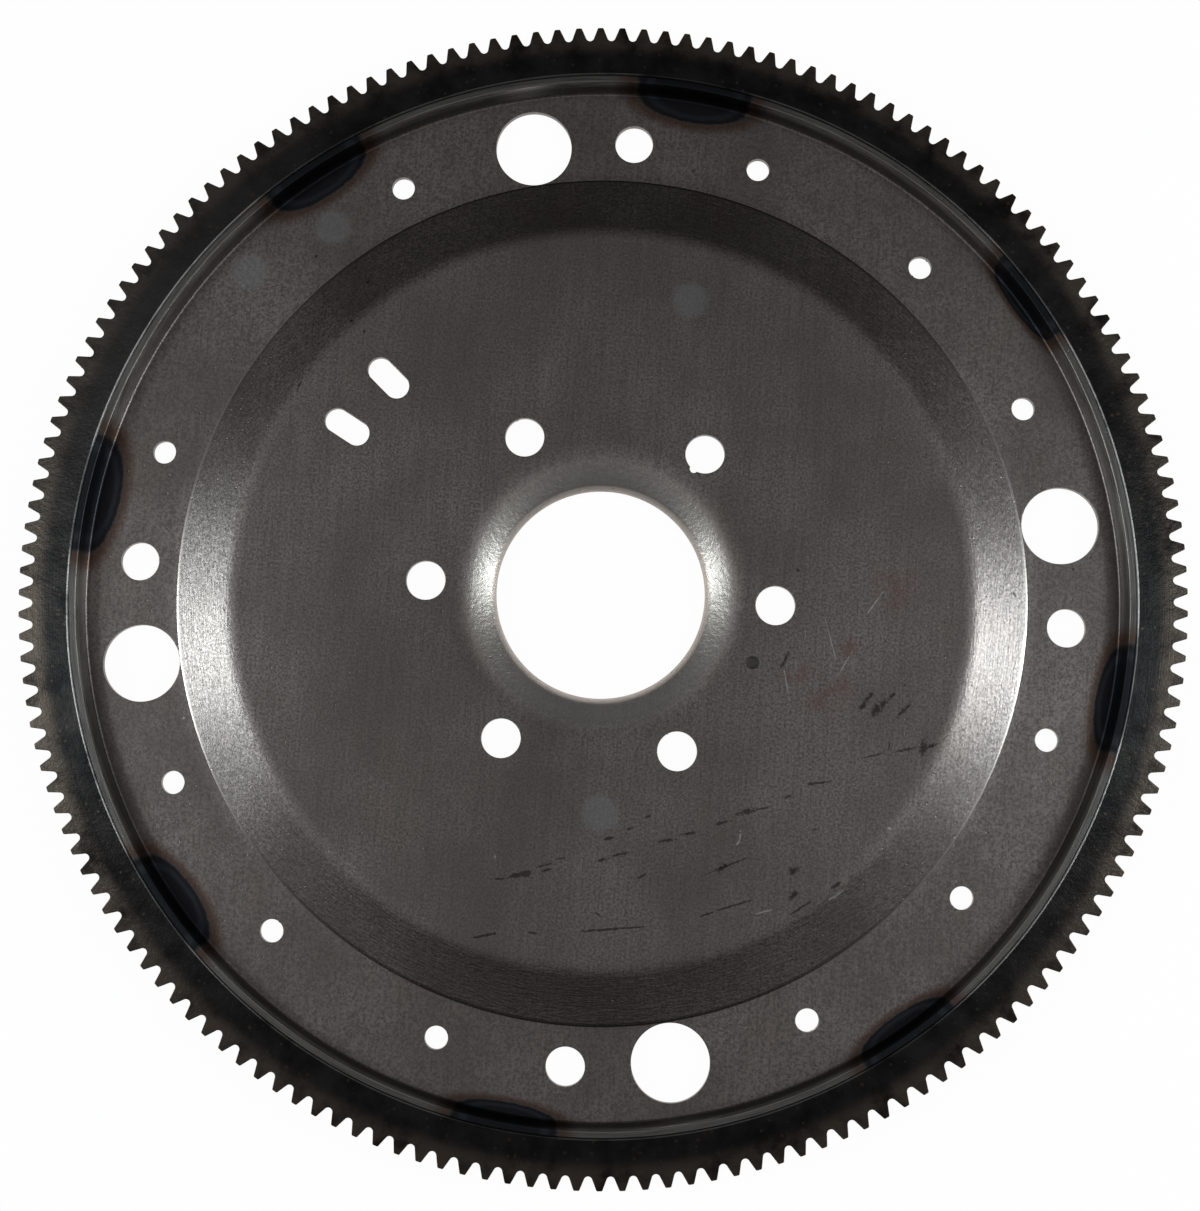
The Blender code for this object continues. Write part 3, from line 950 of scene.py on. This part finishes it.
def plate_zones(tree, place, radius):
    """Masks by name, each 1 inside its zone."""
    across, _, height = axes(tree, place)
    return {
        "lip": fade(tree, radius, *LIP),
        "near_bore": fade(tree, radius, *NEAR_BORE),
        "land": fade(tree, radius, *LAND),
        "lip_shoulder": band(tree, radius, *LIP_SHOULDER),
        "slope": band(tree, radius, *SLOPE),
        "crease": band(tree, radius, *CREASE),
        "to_sides": fade(tree, calc(tree, "ABSOLUTE", across), *TO_SIDES),
        "rim_corner": fade(tree, radius, *RIM_CORNER),
        "out_to_wall": fade(tree, radius, *OUT_TO_WALL),
        "outer_edge": fade(tree, radius, *OUTER_EDGE),
        "up_the_wall": fade(tree, height, *UP_THE_WALL),
        "wall_rise": fade(tree, height, *WALL_RISE),
        "rim_top": fade(tree, height, *RIM_TOP),
    }


# %% [markdown]
# The lip is painted lighter towards the bore: rubbed steel, with a painted glow and highlight over it.
# The crease gets a painted highlight at the plate's left and right, and painted shade above and below.
# The rim's wall was drawn through the die, which left streaks along it; they carry painted shade at the
# wall's foot and a painted highlight near its top, and the rim's upper edge is dark. Painted shade lies
# in the corner at the wall's foot at the left and right, and the land round the bore is the cleanest
# steel of all.

# %% Plate layers: wear, painted light, rim and land
# Rubbed steel with a painted glow and highlight over it, and painted shade for the crease.
RUBBED_AND_HIGHLIT_STEEL = (0.44, 0.395, 0.365, 1)
CREASE_SHADE = (0.060, 0.055, 0.052, 1)
# The wall's streaks: painted shade at the foot and a painted highlight near the top.
WALL_FOOT_SHADE = (0.17, 0.16, 0.155, 1)
WALL_TOP_HIGHLIGHT = (0.50, 0.48, 0.47, 1)
INNER_RIM_EDGE = (0.150, 0.137, 0.129, 1)
OUTER_RIM_EDGE = (0.055, 0.051, 0.050, 1)
# Painted shade for the corner at the wall's foot.
RIM_CORNER_SHADE = (0.045, 0.041, 0.041, 1)
CLEAN_LAND = (0.52, 0.45, 0.41, 1)
WALL_STREAKS = (12.0, 2600.0, 700.0)


def opposite(tree, mask):
    return calc(tree, "SUBTRACT", 1.0, mask)


def wear_and_painted_light(tree, colour, zone):
    # A painted highlight on the crease at the left and right, and a painted glow over rubbed steel near
    # the bore; painted shade in the crease above and below.
    crease_highlight = times(tree, times(tree, zone["crease"], zone["to_sides"]), 0.9)
    wear_and_highlight = calc(tree, "MAXIMUM", times(tree, zone["near_bore"], 0.8), crease_highlight)
    crease_shade = times(tree, zone["crease"], opposite(tree, zone["to_sides"]))
    colour = lay_over(tree, colour, wear_and_highlight, 0.60, RUBBED_AND_HIGHLIT_STEEL)
    return lay_over(tree, colour, crease_shade, 0.5, CREASE_SHADE)


def rim_and_land(tree, colour, zone, place, unrolled):
    drawn = noise(tree, stretch(tree, unrolled, scale=WALL_STREAKS), 1.0, 3.0, 0.7)
    streaks = fade(tree, drawn, 0.30, 0.60)
    on_wall = times(tree, times(tree, zone["up_the_wall"], zone["out_to_wall"]), streaks)
    # The die streaks are painted dark as shade at the wall's foot and bright as a highlight near its top.
    colour = mix(tree, on_wall, colour, mix(tree, zone["wall_rise"], WALL_FOOT_SHADE, WALL_TOP_HIGHLIGHT))
    edge_colour = mix(tree, zone["outer_edge"], INNER_RIM_EDGE, OUTER_RIM_EDGE)
    colour = lay_over(tree, colour, zone["rim_top"], 0.8, edge_colour)
    # Painted shade in the corner at the wall's foot, at the left and right only.
    corner_shade = times(tree, zone["rim_corner"], smudges(tree, place, CORNER_SHADE, 0.0, soft=0.6))
    corner_shade = times(tree, corner_shade, opposite(tree, zone["up_the_wall"]))
    colour = lay_over(tree, colour, corner_shade, 0.6, RIM_CORNER_SHADE)
    return mix(tree, zone["land"], colour, CLEAN_LAND)


# %% [markdown]
# The tables of marks become masks, with noise added to the distance so that no edge is a clean oval. Each
# mask then lays its own colour over the steel, the later rows over the earlier ones. The pits and the
# dimple's dirt are worked out by the caller, because the surface needs them as well.

# %% Plate layer: marks and stains
PALE_STAIN = (0.30, 0.31, 0.33, 1)
RUST = (0.170, 0.085, 0.070, 1)
DARK_SCRAPE = (0.030, 0.027, 0.026, 1)
SCUFFED = (0.026, 0.023, 0.022, 1)
DIRT = (0.034, 0.025, 0.020, 1)
BRIGHT_SCRATCH = (0.60, 0.58, 0.56, 1)
PIT_FLOOR = (0.070, 0.055, 0.050, 1)
BARELY_RAGGED = 0.15


def ragged_edge(tree, place):
    return times(tree, calc(tree, "SUBTRACT", noise(tree, place, 900.0, 4.0, 0.8), 0.46), 3.0)


def marks_and_stains(tree, colour, place, ragged, dimple_dirt, pitted):
    stained = smudges(tree, place, PALE_STAINS, times(tree, ragged, BARELY_RAGGED), soft=0.2)
    blotches = fade(tree, noise(tree, place, 120.0, 5.0, 0.7), 0.36, 0.62)
    rusted = times(tree, smudges(tree, place, RUST_STAINS, ragged, soft=0.6), blotches)
    scraped = smudges(tree, place, DARK_MARKS, ragged)
    scuffed = smudges(tree, place, SOFT_SCUFFS, ragged, soft=0.45)
    scratched = smudges(tree, place, LIGHT_MARKS, ragged)
    for mask, share, above in (
        (stained, 0.34, PALE_STAIN),
        (rusted, 0.6, RUST),
        (scraped, 0.75, DARK_SCRAPE),
        (scuffed, 0.8, SCUFFED),
        (dimple_dirt, 0.93, DIRT),
        (scratched, 0.45, BRIGHT_SCRATCH),
        (pitted, 0.35, PIT_FLOOR),
    ):
        colour = lay_over(tree, colour, mask, share, above)
    return colour


# %% [markdown]
# The eight heat marks come last, over everything else. Each lies at a weld's angle, and its half width in
# degrees and the radius that it reaches in to are its own. The nearest mark's distance gives the dark
# core, the paler line inside it and the rusty fringe round it.

# %% Plate layer: heat marks
HEAT_MARKS = (
    (5.5, 0.1586),
    (6.75, 0.1541),
    (6.5, 0.1546),
    (6.9, 0.1541),
    (6.2, 0.1550),
    (6.0, 0.1577),
    (5.9, 0.1572),
    (6.3, 0.1563),
)
HEAT_FRINGE = (0.075, 0.040, 0.027, 1)
HEAT_BLACK = (0.014, 0.0145, 0.018, 1)
HEAT_LINE = (0.055, 0.060, 0.075, 1)


def heat_tint(tree, colour, place, around):
    marks = []
    for middle, (half_width, reach) in zip(WELD_ANGLES, HEAT_MARKS):
        here = {"Radius": around["Radius"], "Angle": around["Angle"], "Middle": middle}
        mark = use_group(tree, heat_mark, **here, Half_Width=half_width, Reach=reach)
        marks.append(mark["Away"])
    wander = times(tree, calc(tree, "SUBTRACT", noise(tree, place, 300.0, 3.0), 0.5), 0.12)
    away = calc(tree, "ADD", least(tree, marks), wander)
    core = fade(tree, away, 1.04, 0.90)
    line = band(tree, away, 0.60, 0.72, 0.76, 0.86)
    fringe = calc(tree, "SUBTRACT", fade(tree, away, 1.42, 1.0), core, clamp=True)
    colour = lay_over(tree, colour, fringe, 0.85, HEAT_FRINGE)
    colour = lay_over(tree, colour, core, 0.96, HEAT_BLACK)
    return lay_over(tree, colour, line, 0.3, HEAT_LINE)


# %% [markdown]
# Colour alone looks painted on. The roughness sets how sharply a zone mirrors the room, and the bump adds
# what is too small to model: a slight orange peel all over, strongest on the lip, brushing that runs
# round the axis on the slope, and the pits. Dirt in the dimple is no metal, and the lip is dulled a
# little in the same way.

# %% Plate surface: gloss and bumps
BRUSHING = (36.0, 1500.0, 1500.0)
PLATE_ROUGHNESS = 0.32


def plate_surface(tree, shader, place, unrolled, zone, mottle, dimple_dirt, pitted):
    lip, crease, slope = zone["lip"], zone["crease"], zone["slope"]
    covered = calc(tree, "MAXIMUM", times(tree, lip, 0.25), times(tree, dimple_dirt, 0.8))
    feed(tree, shader.inputs["Metallic"], opposite(tree, covered))
    roughness = weigh(
        tree,
        PLATE_ROUGHNESS,
        (mottle, 0.10),
        (slope, -0.05),
        (dimple_dirt, 0.4),
        (crease, -0.10),
        (zone["lip_shoulder"], 0.05),
        (lip, -0.04),
    )
    feed(tree, shader.inputs["Roughness"], roughness)
    brushed = noise(tree, stretch(tree, unrolled, scale=BRUSHING), 1.0, 3.0, 0.7)
    peel = weigh(tree, 1.0, (lip, 2.2), (crease, -0.8))
    height = times(tree, brushed, weigh(tree, 0.2, (slope, 3.2)))
    height = weigh(tree, height, (noise(tree, place, 620.0, 3.0, 0.65), peel), (pitted, -0.8))
    set_bump(tree, shader, height, strength=0.6, distance=0.00006)


# %% [markdown]
# The recipe for the plate now only calls the layers in their order.

# %% Finish: plate steel
def make_plate_steel():
    material, tree, shader, place = start_finish("plate_steel")
    around = use_group(tree, round_place, Vector=place)
    unrolled = around["Vector"]
    zone = plate_zones(tree, place, around["Radius"])
    mottle = noise(tree, place, 20.0, 6.0, 0.62)
    ragged = ragged_edge(tree, place)
    dimple_dirt = smudges(tree, place, DIMPLE_DIRT, times(tree, ragged, BARELY_RAGGED))
    pitted = use_group(tree, pits, Vector=place, Scale=620.0, Size=0.24)["Mask"]
    colour = bare_sheet(tree, place, mottle)
    colour = wear_and_painted_light(tree, colour, zone)
    colour = rim_and_land(tree, colour, zone, place, unrolled)
    colour = marks_and_stains(tree, colour, place, ragged, dimple_dirt, pitted)
    colour = heat_tint(tree, colour, place, around)
    feed(tree, shader.inputs["Base Color"], colour)
    plate_surface(tree, shader, place, unrolled, zone, mottle, dimple_dirt, pitted)
    return material


wear(plate, make_plate_steel())

# %% [markdown]
# ## The ring's finish
#
# The ring is hardened, which leaves a black oxide that turns brown towards the teeth. A painted highlight
# lightens it at the upper left, and painted shade darkens it at the right.

# %% Ring layer: oxide, painted highlight and painted shade
BLACK_OXIDE = (0.013, 0.0125, 0.013, 1)
GREY_OXIDE = (0.032, 0.029, 0.029, 1)
BROWN_TEETH = (0.086, 0.068, 0.056, 1)
# Oxide lightened by a painted highlight at the upper left, and darkened by painted shade at the right.
HIGHLIT_OXIDE = (0.075, 0.068, 0.066, 1)
SHADED_OXIDE = (0.008, 0.008, 0.008, 1)
RING_PIT = (0.075, 0.055, 0.042, 1)
HIGHLIT_SIDE = ((-151.9, 80.7, 0, 105, 105),)
SHADED_SIDE = ((171.6, 12.0, 0, 110, 110),)
TO_TEETH = (0.1708, 0.1758)


def ring_oxide(tree, place, radius, mottle):
    brown = times(tree, fade(tree, radius, *TO_TEETH), fade(tree, mottle, 0.25, 0.6))
    # A painted highlight at the upper left and painted shade at the right.
    highlit = smudges(tree, place, HIGHLIT_SIDE, 0.0, soft=0.75)
    shaded = smudges(tree, place, SHADED_SIDE, 0.0, soft=0.75)
    pitted = use_group(tree, pits, Vector=place, Scale=480.0, Size=0.3)["Mask"]
    colour = mix(tree, fade(tree, mottle, 0.3, 0.7), BLACK_OXIDE, GREY_OXIDE)
    colour = mix(tree, brown, colour, BROWN_TEETH)
    colour = lay_over(tree, colour, highlit, 0.4, HIGHLIT_OXIDE)
    colour = lay_over(tree, colour, shaded, 0.35, SHADED_OXIDE)
    return lay_over(tree, colour, pitted, 0.5, RING_PIT)


# %% [markdown]
# The bore's chamfer is painted bright: rubbed steel with a painted highlight along it. It is dimmer beside
# the welds, whose heat has blacked it, and painted dimmer above and below, away from the highlight.

# %% Ring layer: rubbed chamfer with a painted highlight
WELD_SPACING = 360.0 / len(WELD_ANGLES)
# Bright steel for the chamfer, partly a painted highlight.
CHAMFER_STEEL_AND_HIGHLIGHT = (0.45, 0.43, 0.42, 1)
CHAMFER_REACH = (RING_BORE + 0.0005, RING_BORE + 0.0003)
CHAMFER_SIDES = (0.08, 0.15)
LEFT_SHARE = 0.25


def off_nearest_weld(tree, angle):
    """How many degrees it is to the nearest weld, if they were evenly spaced from the first."""
    turned = calc(tree, "ADD", angle, 360.0 + WELD_SPACING / 2 - WELD_ANGLES[0])
    wrapped = calc(tree, "SUBTRACT", calc(tree, "MODULO", turned, WELD_SPACING), WELD_SPACING / 2)
    return calc(tree, "ABSOLUTE", wrapped)


def chamfer_wear_and_highlight(tree, place, around, mottle):
    wear_and_highlight = times(tree, fade(tree, around["Radius"], *CHAMFER_REACH), fade(tree, mottle, 0.2, 0.5))
    heated = fade(tree, off_nearest_weld(tree, around["Angle"]), 7.0, 5.0)
    # Painted brighter at the left and right, where the highlight falls, and dimmer above and below.
    to_sides = fade(tree, calc(tree, "ABSOLUTE", axes(tree, place)[0]), *CHAMFER_SIDES)
    wear_and_highlight = times(tree, wear_and_highlight, blend(tree, heated, 1.0, LEFT_SHARE))
    return times(tree, wear_and_highlight, blend(tree, to_sides, LEFT_SHARE, 1.0))


# %% [markdown]
# Turning marks run round the ring's face. An anisotropic shader stretches each reflection across such
# fine grooves, and its tangent tells it which way they run. A bump adds the coarser ones.

# %% Finish: ring steel
TURNING_MARKS = (6.0, 2500.0, 2500.0)
RING_ROUGHNESS = 0.38


def make_ring_steel():
    material, tree, shader, place = start_finish("ring_steel")
    around = use_group(tree, round_place, Vector=place)
    mottle = noise(tree, place, 90.0, 4.0, 0.6)
    colour = ring_oxide(tree, place, around["Radius"], mottle)
    colour = mix(tree, chamfer_wear_and_highlight(tree, place, around, mottle), colour, CHAMFER_STEEL_AND_HIGHLIGHT)
    feed(tree, shader.inputs["Base Color"], colour)
    shader.inputs["Metallic"].default_value = 1.0
    shader.inputs["Anisotropic"].default_value = 0.65
    shader.inputs["Anisotropic Rotation"].default_value = 0.25
    grooves = add_node(tree, "ShaderNodeTangent", direction_type="RADIAL", axis="Z")
    feed(tree, shader.inputs["Tangent"], grooves.outputs[0])
    feed(tree, shader.inputs["Roughness"], weigh(tree, RING_ROUGHNESS, (mottle, 0.10)))
    turned = noise(tree, stretch(tree, around["Vector"], scale=TURNING_MARKS), 1.0, 3.0, 0.7)
    height = weigh(tree, turned, (noise(tree, place, 700.0, 3.0, 0.7), 2.0))
    set_bump(tree, shader, height, strength=1.0, distance=0.00008)
    return material


wear(ring, make_ring_steel())

# %% [markdown]
# ## The welds' finish
#
# Weld metal is grey. Its own heat has blued it in places and left straw-coloured patches in others.

# %% Finish: weld steel
WELD_GREY = (0.085, 0.082, 0.085, 1)
WELD_BLUE = (0.030, 0.038, 0.062, 1)
WELD_STRAW = (0.130, 0.085, 0.040, 1)
WELD_ROUGHNESS = 0.3


def make_weld_steel():
    material, tree, shader, place = start_finish("weld_steel")
    heat = noise(tree, place, 260.0, 3.0, 0.6)
    straw = fade(tree, noise(tree, stretch(tree, place, place=(3.1, 0.7, 0.0)), 180.0, 2.0), 0.58, 0.72)
    colour = mix(tree, fade(tree, heat, 0.35, 0.65), WELD_GREY, WELD_BLUE)
    feed(tree, shader.inputs["Base Color"], lay_over(tree, colour, straw, 0.6, WELD_STRAW))
    shader.inputs["Metallic"].default_value = 1.0
    feed(tree, shader.inputs["Roughness"], weigh(tree, WELD_ROUGHNESS, (heat, 0.2)))
    set_bump(tree, shader, noise(tree, place, 1400.0, 3.0, 0.6), strength=0.3, distance=0.00008)
    return material


weld_steel = make_weld_steel()
for bead in welds:
    wear(bead, weld_steel)

# %% [markdown]
# ## The studio
#
# The part lies on a plain pale floor. The camera and the steel's reflections see it as white, and the
# little of its shading that is left keeps a faint shadow under the part.

# %% Floor
FLOOR_SIZE = 6.0
FLOOR_PAINT = (0.9, 0.9, 0.9, 1)
SEEN_SHARE = 0.97


def seen_as_backdrop(tree):
    """1 for what the camera sees, straight on or in metal and glass."""
    path = add_node(tree, "ShaderNodeLightPath").outputs
    mirrored = calc(tree, "MAXIMUM", path["Is Glossy Ray"], path["Is Transmission Ray"])
    return calc(tree, "MAXIMUM", path["Is Camera Ray"], mirrored)


def make_floor():
    bm = bmesh.new()
    bmesh.ops.create_grid(bm, x_segments=1, y_segments=1, size=FLOOR_SIZE / 2)
    floor = to_object("floor", bm)
    material = bpy.data.materials.new("pale_floor")
    material.use_nodes = True
    tree = material.node_tree
    shader = tree.nodes["Principled BSDF"]
    shader.inputs["Base Color"].default_value = FLOOR_PAINT
    shader.inputs["Roughness"].default_value = 0.9
    glow = add_node(tree, "ShaderNodeEmission")
    glow.inputs["Strength"].default_value = 1.0
    both = add_node(tree, "ShaderNodeMixShader")
    feed(tree, both.inputs[0], times(tree, seen_as_backdrop(tree), SEEN_SHARE))
    feed(tree, both.inputs[1], shader.outputs[0])
    feed(tree, both.inputs[2], glow.outputs[0])
    feed(tree, tree.nodes["Material Output"].inputs["Surface"], both.outputs[0])
    floor.data.materials.append(material)
    return floor


floor = make_floor()
print("floor in m:", round(floor.dimensions.x, 2), "by", round(floor.dimensions.y, 2))

# %% [markdown]
# Bare steel shows what it mirrors, so the room matters as much as the lamps. Over the part is a plain
# grey ceiling, brighter to the left and right. It falls off to near black above and below the photo,
# which is what darkens the upper and lower slopes. Low down runs a pale horizon, so that the part stays
# readable from the side. The room is turned as the photo is.

# %% Room light
PHOTO_TURN = 4.05
CEILING_LIGHT = 0.27
WALL_LIGHT = 0.03
HORIZON_LIGHT = 0.25
CEILING_MIDDLE = -0.03
CEILING_EDGE = (0.62, 0.22)
MIDDLE_SHARE = 0.84
SIDE_SHARE = 1.15
BRIGHT_SIDES = (0.06, 0.30, 0.36, 0.55)
HORIZON_EDGE = (0.45, 0.20)


def make_room():
    world = bpy.data.worlds.new("room")
    bpy.context.scene.world = world
    world.use_nodes = True
    tree = world.node_tree
    direction = add_node(tree, "ShaderNodeTexCoord").outputs["Generated"]
    across, up, out = axes(tree, stretch(tree, direction, turn=(0, 0, -PHOTO_TURN)))
    off_middle = calc(tree, "ABSOLUTE", calc(tree, "SUBTRACT", up, CEILING_MIDDLE))
    sides = band(tree, calc(tree, "ABSOLUTE", across), *BRIGHT_SIDES)
    ceiling = times(tree, weigh(tree, MIDDLE_SHARE, (sides, SIDE_SHARE)), CEILING_LIGHT)
    light = blend(tree, fade(tree, off_middle, *CEILING_EDGE), WALL_LIGHT, ceiling)
    light = blend(tree, fade(tree, out, *HORIZON_EDGE), light, HORIZON_LIGHT)
    path = add_node(tree, "ShaderNodeLightPath").outputs
    feed(tree, tree.nodes["Background"].inputs["Strength"], blend(tree, path["Is Camera Ray"], light, 1.0))
    tree.nodes["Background"].inputs["Color"].default_value = (1, 1, 1, 1)
    return world


room = make_room()
print("room nodes:", len(room.node_tree.nodes))

# %% [markdown]
# Two soft lamps stand left and right, low enough to miss the flats and to strike the pressed slopes.
# Their light is slightly cool against the warm steel. The right one is a little narrower and stronger.

# %% Lamps
LAMP_COLOUR = (0.86, 0.98, 1.0)
LAMP_SIDE = 0.90
LAMP_UP = -0.03
LAMP_HEIGHT = 0.62
LAMP_LENGTH = 0.60


def add_softbox(name, side, width, watts):
    """A soft lamp left or right of the part as the photo sees it, aimed at the part's middle."""
    data = bpy.data.lights.new(name, "AREA")
    data.shape = "RECTANGLE"
    data.size, data.size_y = width, LAMP_LENGTH
    data.energy = watts
    data.color = LAMP_COLOUR
    lamp = bpy.data.objects.new(name, data)
    bpy.context.scene.collection.objects.link(lamp)
    lamp.location = about_axis(PHOTO_TURN, size=3) @ Vector((side, LAMP_UP, LAMP_HEIGHT))
    lamp.rotation_euler = (-lamp.location).to_track_quat("-Z", "Y").to_euler()
    print(name, "watts:", data.energy, "metres away:", round(lamp.location.length, 2))


add_softbox("softbox_left", -LAMP_SIDE, 0.24, 6.0)
add_softbox("softbox_right", LAMP_SIDE, 0.20, 6.9)

# %% [markdown]
# ## The camera
#
# The photo was taken from nearly straight above. The camera's place and lens were worked out from how the
# rings of holes are foreshortened, and its three angles tilt it up by 5.7 degrees, sideways by 1 degree,
# and turn it round its line of sight by 4.3 degrees.

# %% Camera
CAMERA_PLACE = (0.01484, -0.06191, 0.59400)
CAMERA_ANGLES = (5.7414, 1.0048, 4.2604)
CAMERA_LENS = 56.48
SENSOR_WIDTH = 36.0


def place_camera():
    data = bpy.data.cameras.new("camera")
    data.sensor_width = SENSOR_WIDTH
    data.lens = CAMERA_LENS
    data.clip_start = 0.01
    camera = bpy.data.objects.new("camera", data)
    bpy.context.scene.collection.objects.link(camera)
    camera.location = CAMERA_PLACE
    camera.rotation_euler = [math.radians(angle) for angle in CAMERA_ANGLES]
    bpy.context.scene.camera = camera
    print("camera's height in m:", round(camera.location.z, 3), "lens in mm:", round(data.lens, 2))


place_camera()
bpy.context.scene.view_settings.view_transform = "Standard"
